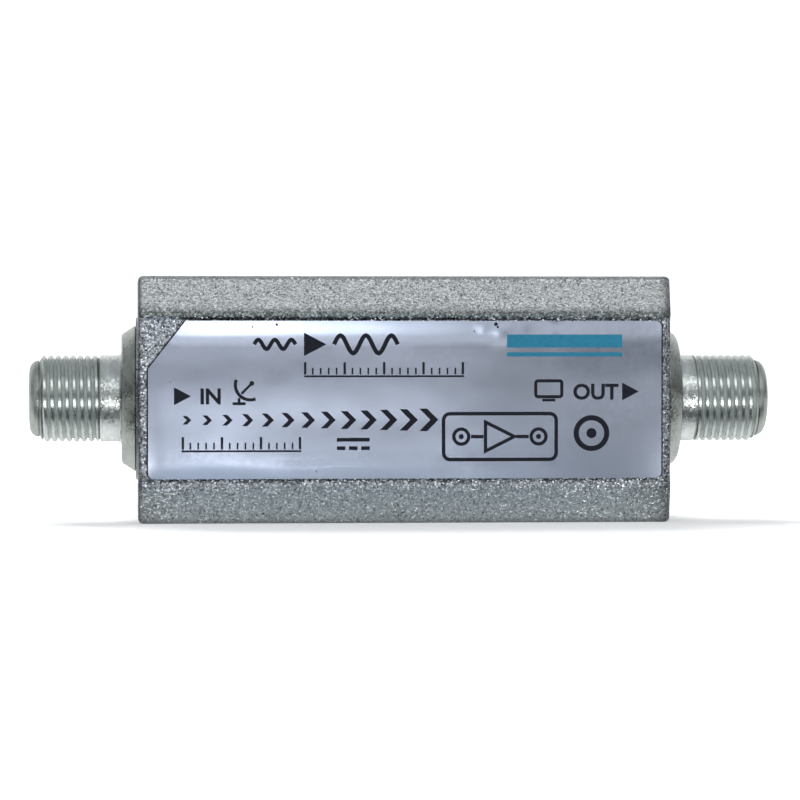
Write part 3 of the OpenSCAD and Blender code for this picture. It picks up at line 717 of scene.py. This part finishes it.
def foil_lift(x, z):
    """How far the foil stands off its floor, in metres."""
    along = (x - LABEL_LOW.x) / LABEL_L
    up = (z - LABEL_LOW.z) / LABEL_W
    crest = CREST_UP + CREST_SWAY * noise.noise((x / CREST_L, 0.7, 0.2))
    drop = END_DROP + MIDDLE_DROP * ease(along, 0.1, 0.26)
    wave_lift = WAVE_LIFT * ease(up, crest - 0.17, crest) - drop * ease(up, crest - 0.05, crest + 0.3)
    wave_lift *= 1 - ease(along, 0.45, 0.8)
    tilt = TILT_LIFT * ease(up, 0.65, 1.05) * (1 - ease(along, 0.5, 0.85))
    bulge = (wave_lift + tilt) * ease(along, -0.04, 0.03)
    flatter = 0.1 * ease(along, 0.15, 0.4) + 0.6 * ease(along, 0.5, 0.95)
    curl = CURL_LIFT * ease(up, 0.86, 1.06) * (1 - flatter)
    ripple = RIPPLE_LIFT * noise.noise((x / RIPPLE_L, 0.3, z / RIPPLE_W))
    ripple *= ease(up, 0, 0.35) * ease(up, 1.0, 0.9)
    dents = 0.0
    for dent_along, dent_up, size, height in DENTS:
        away = math.hypot((along - dent_along) * LABEL_L, (up - dent_up) * LABEL_W) / (size * MM)
        dents += height * MM * math.exp(-away * away)
    return max(0.0, bulge + curl + ripple + dents)


def add_layer(name, outlines, material, thickness, base, replaces=()):
    """A layer of flat outlines, as lists of (x, z), laid on the label's surface base above its floor."""
    form = bmesh.new()
    for outline in outlines:
        form.faces.new([form.verts.new((x, 0, z)) for x, z in outline])
    bmesh.ops.remove_doubles(form, verts=form.verts, dist=WELD / 10)
    for axis, low, high in ((0, LABEL_LOW.x, LABEL_HIGH.x), (2, LABEL_LOW.z, LABEL_HIGH.z)):
        normal = Vector((axis == 0, 0, axis == 2))
        for i in range(1, int((high - low) / GRID)):
            everything = form.verts[:] + form.edges[:] + form.faces[:]
            bmesh.ops.bisect_plane(form, geom=everything, plane_co=normal * (low + i * GRID), plane_no=normal)
    front = LABEL_HIGH.y - base
    for vertex in form.verts:
        vertex.co.y = front - foil_lift(vertex.co.x, vertex.co.z)
    bmesh.ops.triangulate(form, faces=form.faces[:])
    thicken(form, form.faces[:], -thickness)
    mesh = form_mesh(form, name)
    mesh.set_sharp_from_angle(angle=FOIL_SMOOTH)
    piece(name, mesh, [material], replaces)


def arc_points(x, z, radius, start, end, steps=6):
    """Points of an arc about (x, z), with its angles in degrees."""
    turns = [math.radians(start + (end - start) * i / steps) for i in range(steps + 1)]
    return [(x + radius * math.cos(turn), z + radius * math.sin(turn)) for turn in turns]


def foil_outline(grow=0.0):
    """The label's edge, with its cut corner at the upper input end, moved outwards along its ends."""
    radius = FOIL_ROUND
    left, right, low, high = LABEL_LOW.x - grow, LABEL_HIGH.x + grow, LABEL_LOW.z, LABEL_HIGH.z
    return (arc_points(left + radius, low + radius, radius, 180, 270)
            + arc_points(right - radius, low + radius, radius, 270, 360)
            + arc_points(right - radius, high - radius, radius, 0, 90)
            + [(left + CUT_L, high), (left, high - CUT_W)])


def on_label(x, z):
    """A place on the label in millimetres from its middle."""
    return ((LABEL_LOW.x + LABEL_HIGH.x) / 2 + x * MM, (LABEL_LOW.z + LABEL_HIGH.z) / 2 + z * MM)


def filled(points):
    """The outline through points in millimetres from the label's middle."""
    return [on_label(x, z) for x, z in points]


def bar(x0, z0, x1, z1):
    return filled([(x0, z0), (x1, z0), (x1, z1), (x0, z1)])


def arrow(x, z, length, height):
    """A triangle that points along the signal's way, with its back at x."""
    return filled([(x, z - height / 2), (x + length, z), (x, z + height / 2)])


def chevron(x, z, height, thick):
    """An open arrowhead with its back at x."""
    lean = height / 2
    return filled([(x, z - height / 2), (x + thick, z - height / 2), (x + thick + lean, z),
                   (x + thick, z + height / 2), (x, z + height / 2), (x + lean, z)])


def stroke(points, width, closed=False):
    """The outlines that make up a line of that width through the points."""
    path = [Vector(point) for point in points]
    count = len(path)
    sides = []
    for i, point in enumerate(path):
        ahead = (path[(i + 1) % count] - point).normalized()
        behind = (point - path[i - 1]).normalized()
        if not closed and i == 0:
            behind = ahead
        if not closed and i == count - 1:
            ahead = behind
        across = Vector((-ahead.y - behind.y, ahead.x + behind.x)).normalized()
        reach = across * (width / 2 / across.dot(Vector((-ahead.y, ahead.x))))
        sides.append((point + reach, point - reach))
    pairs = [(i, (i + 1) % count) for i in range(count if closed else count - 1)]
    return [filled([sides[i][0], sides[i][1], sides[k][1], sides[k][0]]) for i, k in pairs]


def ring(x, z, radius, width):
    return stroke(arc_points(x, z, radius, 0, 360, 32)[:-1], width, closed=True)


def dot(x, z, radius):
    return filled(arc_points(x, z, radius, 0, 360, 16)[:-1])


def rounded_frame(x0, z0, x1, z1, radius, width):
    """The sides of a box with rounded corners."""
    corners = (arc_points(x0 + radius, z0 + radius, radius, 180, 270)
               + arc_points(x1 - radius, z0 + radius, radius, 270, 360)
               + arc_points(x1 - radius, z1 - radius, radius, 0, 90)
               + arc_points(x0 + radius, z1 - radius, radius, 90, 180))
    return stroke(corners, width, closed=True)


def wave(x0, x1, z, height, periods, width):
    """A sine wave from x0 to x1."""
    steps = round(periods * 16)
    points = [(x0 + (x1 - x0) * i / steps, z + height * math.sin(2 * math.pi * periods * i / steps))
              for i in range(steps + 1)]
    return stroke(points, width)


def gain_picture():
    """A small wave, an amplifier and a large wave."""
    return (wave(-16.2, -11.8, 5.9, 0.5, 2.5, 0.42) + [arrow(-10.9, 5.9, 2.4, 2.5)]
            + wave(-7.7, -0.9, 5.9, 0.95, 2.5, 0.46))


def tick_scale(x0, x1, z, count):
    """A line with a short tick at each step and a long one at each fifth."""
    marks = [bar(x0, z - 0.2, x1, z)]
    for i in range(count + 1):
        wide, high = (0.26, 1.4) if i % 5 == 0 else (0.18, 0.8)
        x = x0 + (x1 - x0 - wide) * i / count
        marks.append(bar(x, z + 0.1, x + wide, z + high))
    return marks


def growing_chevrons(x, z, count, step):
    """Arrowheads in a row that grow along the signal's way."""
    heights = [0.9 + 1.5 * i / (count - 1) for i in range(count)]
    return [chevron(x + step * i, z, height, 0.25 + 0.25 * height) for i, height in enumerate(heights)]


def direct_current(x, z):
    """A line over three dashes."""
    dashes = [bar(x + 1.3 * i, z - 0.6, x + 1.3 * i + 0.9, z - 0.2) for i in range(3)]
    return [bar(x, z + 0.3, x + 3.5, z + 0.7)] + dashes


def amplifier_circuit(x0, x1, z):
    """Two sockets with an amplifier between them."""
    middle, line, size = (x0 + x1) / 2, 0.36, 1.55
    triangle = [(middle - size, z - size), (middle + size, z), (middle - size, z + size)]
    marks = stroke(triangle, line, closed=True)
    for x, side in ((x0, 1), (x1, -1)):
        marks += ring(x, z, 0.8, line) + [dot(x, z, 0.28)]
        near, far = x + side * 1.05, middle - side * (size + 0.22)
        marks.append(bar(min(near, far), z - line / 2, max(near, far), z + line / 2))
    return marks


def dish_picture(x, z):
    """A dish with its feed, on a mast."""
    bowl = arc_points(x + 1.7, z + 2.15, 1.6, 160, 290, 14)
    feed = [(x + 0.75, z + 1.2), (x + 1.75, z + 2.2)]
    mast = [(x + 0.5, z + 0.75), (x + 0.5, z + 0.2)]
    return (stroke(bowl, 0.34) + stroke(feed, 0.26) + stroke(mast, 0.3)
            + [dot(x + 1.85, z + 2.3, 0.26), bar(x - 0.2, z, x + 1.2, z + 0.3)])


def screen_picture(x, z):
    """A screen on its foot."""
    return (rounded_frame(x, z + 0.5, x + 2.8, z + 2.2, 0.25, 0.34)
            + [bar(x + 0.7, z, x + 2.1, z + 0.28)])


def lettering(text, x, z, height):
    """Outlines of plain letters whose lower left corner is at (x, z) on the label."""
    curve = bpy.data.curves.new(text, "FONT")
    curve.body = text
    curve.size = height * MM / CAPITAL_SHARE
    curve.resolution_u = 3
    curve.offset = LETTER_WEIGHT
    holder = add_object(text, curve)
    bpy.context.view_layer.update()
    flat = holder.to_mesh()
    left, low = on_label(x, z)
    outlines = [[(left + flat.vertices[i].co.x, low + flat.vertices[i].co.y) for i in face.vertices]
                for face in flat.polygons]
    holder.to_mesh_clear()
    bpy.data.objects.remove(holder)
    return outlines


def dark_marks():
    """The outlines of all dark print, and of the dirt."""
    marks = [arrow(-24.7, 0.4, 1.8, 1.9), arrow(23.2, 0.85, 1.8, 1.9)]
    marks += lettering("IN", -22, -0.4, 1.6) + dish_picture(-18.3, -0.55)
    marks += lettering("OUT", 17.9, 0.05, 1.6) + screen_picture(13.9, -0.2)
    marks += gain_picture() + tick_scale(-10.9, 6.2, 2.6, 20)
    marks += growing_chevrons(-23.8, -2.15, 13, 2.1)
    marks += tick_scale(-23.9, -11.2, -5.35, 15) + direct_current(-7.4, -4.75)
    marks += rounded_frame(4, -6.4, 16.1, -1.5, 0.7, 0.38) + amplifier_circuit(5.9, 14.2, -3.95)
    marks += ring(19.9, -3.6, 1.65, 0.55) + [dot(19.9, -3.6, 0.55)]
    return marks + [dot(*speck) for speck in SPECKS]


def build_label():
    # The glue's rim draws painted shade along the foil's edges
    add_layer("label_glue", [foil_outline(GLUE_RIM)], GLUE_AND_EDGE_SHADE, GLUE_T, 0)
    add_layer("label_foil", [foil_outline()], FOIL, FOIL_T, GLUE_T, ["rating_label"])
    add_layer("label_print", dark_marks(), INK, INK_T, FOIL_T + GLUE_T)
    stripes = [bar(10.8, 5.55, 23.2, 6.95), bar(10.8, 4.6, 23.2, 5.05)]
    add_layer("label_stripe", stripes, TEAL_INK, INK_T, FOIL_T + GLUE_T)


# Jacks, drawn along their axis outwards from the end face

ROOT_R = 4.24 * MM
CREST_SHARE = 0.34
PITCH = 0.794 * MM
RUNOUT_L = PITCH / 2
UNDERCUT_L = 0.14 * MM
INPUT_TURNS, OUTPUT_TURNS = 8, 8.5
INPUT_UNDERCUT, OUTPUT_UNDERCUT = 0.27 * MM, 0.06 * MM
BOSS_R, BOSS_TIP_R, BOSS_L = 7.9 * MM, 6.95 * MM, 1.55 * MM
PAD_T = 0.2 * MM
NOSE_R, NOSE_L = 4.15 * MM, 1.15 * MM
NOSE_EDGE_L, NOSE_EDGE_R = 1.02 * MM, 1.2 * MM
NOSE_STEPS, NOSE_GROOVE, NOSE_RELIEF = 12, 0.03 * MM, 0.12 * MM
REACH = 11.7 * MM
END_WALL = 2.6 * MM
SPIGOT_R = 4.88 * MM
BORE_R, LIP_R, LIP_T = 2.8 * MM, 2.4 * MM, 0.6 * MM
JACK_SIDES = 96
RINGS_PER_TURN = 20
FLANK_POWER = 1.2
CHAMFER, FILLET = 0.12 * MM, 0.35 * MM
BOSS_BAND, NECK_BAND, THREAD_BAND, NOSE_BAND = range(4)


def thread_radius(along, turn_share, end):
    """Radius of the thread at a place along the jack and a share of the way round it."""
    from_crest = abs(2 * (((end - along) / PITCH + turn_share) % 1.0) - 1)
    ridge = 1 - max(0.0, (from_crest - CREST_SHARE) / (1 - CREST_SHARE)) ** FLANK_POWER
    runout = min(1.0, max(0.0, (end - along) / RUNOUT_L))
    return ROOT_R + (THREAD_R - ROOT_R) * ridge * runout


def nose_profile(start):
    """Places (distance along, radius) of the relief, the grooved round nose, and the lip in its mouth."""
    relief = NOSE_R - NOSE_RELIEF
    nose = [(start, relief), (start + NOSE_RELIEF, relief)]
    for i in range(NOSE_STEPS + 1):
        turn = math.pi / 2 * i / NOSE_STEPS
        groove = NOSE_GROOVE if i % 3 == 2 else 0
        nose.append((REACH - NOSE_EDGE_L * (1 - math.sin(turn)),
                     NOSE_R - NOSE_EDGE_R * (1 - math.cos(turn)) - groove))
    return nose + [(REACH, LIP_R + CHAMFER), (REACH - CHAMFER, LIP_R),
                   (REACH - LIP_T, LIP_R), (REACH - LIP_T, BORE_R)]


def jack_rings(turns, undercut_depth):
    """Rings of (distance along, radius at each share of a turn, finish of the band that follows).

    They go round the whole section: out along the jack, and back in its bore.
    """
    thread_end = REACH - NOSE_L
    neck_end = thread_end - turns * PITCH
    boss_end = PAD_T + BOSS_L
    boss = [(-END_WALL, BORE_R), (-END_WALL, SPIGOT_R), (PAD_T, SPIGOT_R), (PAD_T, BOSS_R - CHAMFER),
            (PAD_T + CHAMFER, BOSS_R), (boss_end - 1.5 * CHAMFER, BOSS_TIP_R + CHAMFER),
            (boss_end - CHAMFER, BOSS_TIP_R + CHAMFER / 2), (boss_end, BOSS_TIP_R - CHAMFER)]
    neck = [(boss_end, THREAD_R + FILLET), (boss_end + FILLET / 3, THREAD_R + FILLET / 3),
            (boss_end + FILLET, THREAD_R), (neck_end - UNDERCUT_L - CHAMFER, THREAD_R)]
    undercut = [(neck_end - UNDERCUT_L, THREAD_R - undercut_depth / 4),
                (neck_end - UNDERCUT_L, THREAD_R - undercut_depth), (neck_end, THREAD_R - undercut_depth)]

    parts = ((BOSS_BAND, boss), (NECK_BAND, neck), (NOSE_BAND, undercut))
    rings = [(along, [radius] * JACK_SIDES, band) for band, part in parts for along, radius in part]
    steps = round(turns * RINGS_PER_TURN)
    for i in range(1, steps):
        along = neck_end + (thread_end - neck_end) * i / steps
        radii = [thread_radius(along, k / JACK_SIDES, thread_end) for k in range(JACK_SIDES)]
        rings.append((along, radii, THREAD_BAND if along < thread_end - RUNOUT_L else NOSE_BAND))
    rings += [(along, [radius] * JACK_SIDES, NOSE_BAND) for along, radius in nose_profile(thread_end)]
    return rings


def at_end(side, along, radius, share):
    """The point at that distance out of the box's end, radius and share of a turn."""
    turn = 2 * math.pi * share
    end_face = side * (BOX_HIGH.x - PAD_T)
    return (end_face + side * along, -side * radius * math.sin(turn), AXIS_Z + radius * math.cos(turn))


def build_jack(name, side, turns, undercut_depth):
    section = jack_rings(turns, undercut_depth)
    vertices = [at_end(side, along, radius, k / JACK_SIDES)
                for along, radii, _ in section for k, radius in enumerate(radii)]
    finishes = [band for _, _, band in section for _ in range(JACK_SIDES)]
    mesh = mesh_from(name + "_threaded", vertices, band_faces(len(section), JACK_SIDES, True), finishes)
    piece(name + "_threaded", mesh, [SHADED_BOSS, NECK, NICKEL, SHADED_NOSE], [name])


def build_jacks():
    for name, side, turns, undercut in (("input", -1, INPUT_TURNS, INPUT_UNDERCUT),
                                        ("output", 1, OUTPUT_TURNS, OUTPUT_UNDERCUT)):
        build_jack(name + "_jack", side, turns, undercut)
        for part in ("front_insulator", "rear_insulator"):
            dress_node(name + "_" + part, PLASTIC)
        dress_node(name + "_contact", GILT)


# Board and components, which stand from the tracks towards +Y

CHIP_CAP = 0.4 * MM
CHIP_INSET = 0.025 * MM
CHOKE_TURNS, CHOKE_PITCH, CHOKE_R, WIRE_R = 6.5, 1 * MM, 1.45 * MM, 0.25 * MM
CHOKE_AXIS = 2.1 * MM
WIRE_SIDES = 14
RINGS_PER_COIL = 28


def box_middle(low, high):
    return (Vector(low) + Vector(high)) / 2


def loose_boxes(form):
    """The lowest and highest corners of each loose solid of a form."""
    waiting = set(form.verts)
    boxes = []
    while waiting:
        group, front = [], [waiting.pop()]
        while front:
            vertex = front.pop()
            group.append(vertex.co)
            linked = {edge.other_vert(vertex) for edge in vertex.link_edges} & waiting
            waiting -= linked
            front += linked
        boxes.append((Vector([min(co[i] for co in group) for i in range(3)]),
                      Vector([max(co[i] for co in group) for i in range(3)])))
    return sorted(boxes, key=lambda box: tuple(box[0]))


def add_block(form, low, high, material, edge):
    """Adds a block with rounded edges between two corners."""
    middle, size = box_middle(low, high), Vector(high) - Vector(low)
    place = Matrix.Translation(middle) @ Matrix.Diagonal((*size, 1))
    corners = bmesh.ops.create_cube(form, size=1, matrix=place)["verts"]
    edges = list({link for corner in corners for link in corner.link_edges})
    for face in {link for corner in corners for link in corner.link_faces}:
        face.material_index = material
    round_edges(form, edges, edge)


def build_chips(name, body):
    """Replaces each chip of a node by a body between two tinned ends."""
    solids = node_form(name)
    boxes = loose_boxes(solids)
    solids.free()
    form = bmesh.new()
    for low, high in boxes:
        long_way = 0 if high.x - low.x > high.z - low.z else 2
        inset = Vector([0 if i == long_way else CHIP_INSET for i in range(3)])
        cut_low, cut_high = low.copy(), high.copy()
        cut_low[long_way] += CHIP_CAP
        cut_high[long_way] -= CHIP_CAP
        add_block(form, cut_low + inset, cut_high - inset, 0, 0.02 * MM)
        for end_low, end_high in ((low, cut_low), (cut_high, high)):
            corner_low, corner_high = low.copy(), high.copy()
            corner_low[long_way], corner_high[long_way] = end_low[long_way], end_high[long_way]
            add_block(form, corner_low, corner_high, 1, 0.06 * MM)
    finish_piece(form, name, [body, TIN])


def turned_mesh(name, profile, sides, place):
    """A solid turned about its axis, from (along, radius, material of the band that follows)."""
    vertices = [place(along, radius, 2 * math.pi * k / sides) for along, radius, _ in profile
                for k in range(sides)]
    bands = [finish for _, _, finish in profile[:-1] for _ in range(sides)]
    return mesh_from(name, vertices, tube_faces(len(profile), sides), [bands[0], bands[-1]] + bands)


def build_diode():
    """A glass body between two metal caps, across the board."""
    low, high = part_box("protection_diode")
    middle, radius = box_middle(low, high), (high.x - low.x) / 2
    cap, edge, glass = 0.6 * MM, 0.1 * MM, radius * 0.94
    length = high.z - low.z
    profile = [(0, radius - edge, 1), (edge, radius, 1), (cap, radius, 1), (cap, glass, 0),
               (length - cap, glass, 1), (length - cap, radius, 1), (length - edge, radius, 1),
               (length, radius - edge, 1)]

    def place(along, out, turn):
        return (middle.x + out * math.cos(turn), middle.y + out * math.sin(turn), low.z + along)

    mesh = turned_mesh("protection_diode_finish", profile, 40, place)
    piece("protection_diode_finish", mesh, [GLASS, TIN], ["protection_diode"])


def build_can():
    """An aluminium can on a black base, with a dark mark on its top."""
    low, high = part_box("supply_capacitor")
    middle, radius, top = box_middle(low, high), (high.x - low.x) / 2, high.y - low.y
    base, neck, groove, edge = 0.7 * MM, 0.35 * MM, 0.25 * MM, 0.25 * MM
    profile = [(base, radius - groove, 0), (base, radius, 0), (base + neck, radius, 0),
               (base + 1.5 * neck, radius - 0.7 * groove, 0), (base + 2 * neck, radius - groove, 0),
               (base + 2.5 * neck, radius - 0.7 * groove, 0), (base + 3 * neck, radius, 0),
               (top - edge, radius, 0), (top - 0.3 * edge, radius - 0.3 * edge, 0), (top, radius - edge, 0)]

    def place(along, out, turn):
        return (middle.x + out * math.cos(turn), low.y + along, middle.z + out * math.sin(turn))

    mesh = turned_mesh("supply_capacitor_can", profile, 64, place)
    form = bmesh.new()
    form.from_mesh(mesh)
    bpy.data.meshes.remove(mesh)
    add_block(form, low, Vector((high.x, low.y + base, high.z)), 1, 0.12 * MM)
    mark_r, mark_t = radius - 1.4 * edge, 0.01 * MM
    rim = [place(top, mark_r, math.radians(110 + 140 * i / 16)) for i in range(17)]
    mark = form.faces.new([form.verts.new(point) for point in rim])
    mark.material_index = 2
    thicken(form, [mark], mark_t)
    finish_piece(form, "supply_capacitor", [CAN, EPOXY, INK], angle=35)


def build_choke(name, side):
    """Replaces a choke by its wire, swept smoothly along its legs and turns."""
    low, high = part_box(name)
    middle, start_z = (low.x + high.x) / 2, high.z - WIRE_R
    count = round(CHOKE_TURNS * RINGS_PER_COIL)
    stations = [(0, 0, 0)]
    stations += [(2 * math.pi * i / RINGS_PER_COIL, CHOKE_AXIS, 1) for i in range(count + 1)]
    stations.append((2 * math.pi * CHOKE_TURNS, 0, 0))
    vertices = []
    for turn, height, wound in stations:
        out = Vector((side * math.cos(turn), math.sin(turn) * wound, 0))
        centre = Vector((middle, low.y + height, start_z - CHOKE_PITCH * turn / (2 * math.pi)))
        centre += out * CHOKE_R
        for k in range(WIRE_SIDES):
            angle = 2 * math.pi * k / WIRE_SIDES
            vertices.append(centre + WIRE_R * (math.cos(angle) * out + math.sin(angle) * Vector((0, 0, 1))))
    mesh = mesh_from(name + "_wire", vertices, tube_faces(len(stations), WIRE_SIDES), smooth_angle=50)
    piece(name + "_wire", mesh, [ENAMEL], [name])


def lead_finish(name, axis, low_reach, high_reach):
    """Picks leads, which are the ends of a package along an axis, apart from its body."""
    low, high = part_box(name)
    first, last = low[axis] + low_reach - WELD, high[axis] - high_reach + WELD
    return lambda point: int(not first < point[axis] < last)


def build_board():
    dress_node("circuit_board", MASK)
    dress_node("ground_foil", COPPER)
    dress_node("copper_tracks", COPPER)
    refine_node("ground_solder", [SOLDER], 0.12 * MM)
    refine_node("contact_solder", [SOLDER], 0.12 * MM)
    for name in ("first_transistor", "second_transistor"):
        refine_node(name, [EPOXY, TIN], 0.04 * MM, lead_finish(name, 0, 0.55 * MM, 0.55 * MM))
    regulator = "voltage_regulator"
    refine_node(regulator, [EPOXY, TIN], 0.05 * MM, lead_finish(regulator, 2, 1 * MM, 0.5 * MM))
    build_chips("coupling_capacitors", CERAMIC)
    build_chips("bypass_capacitors", CERAMIC)
    build_chips("bias_resistors", GLAZE)
    build_choke("input_choke", 1)
    build_choke("output_choke", -1)
    build_can()
    build_diode()


build_camera()
build_stage()
build_world()
build_lights()
build_case()
build_label()
build_jacks()
build_board()

bpy.context.scene.view_settings.view_transform = "Standard"
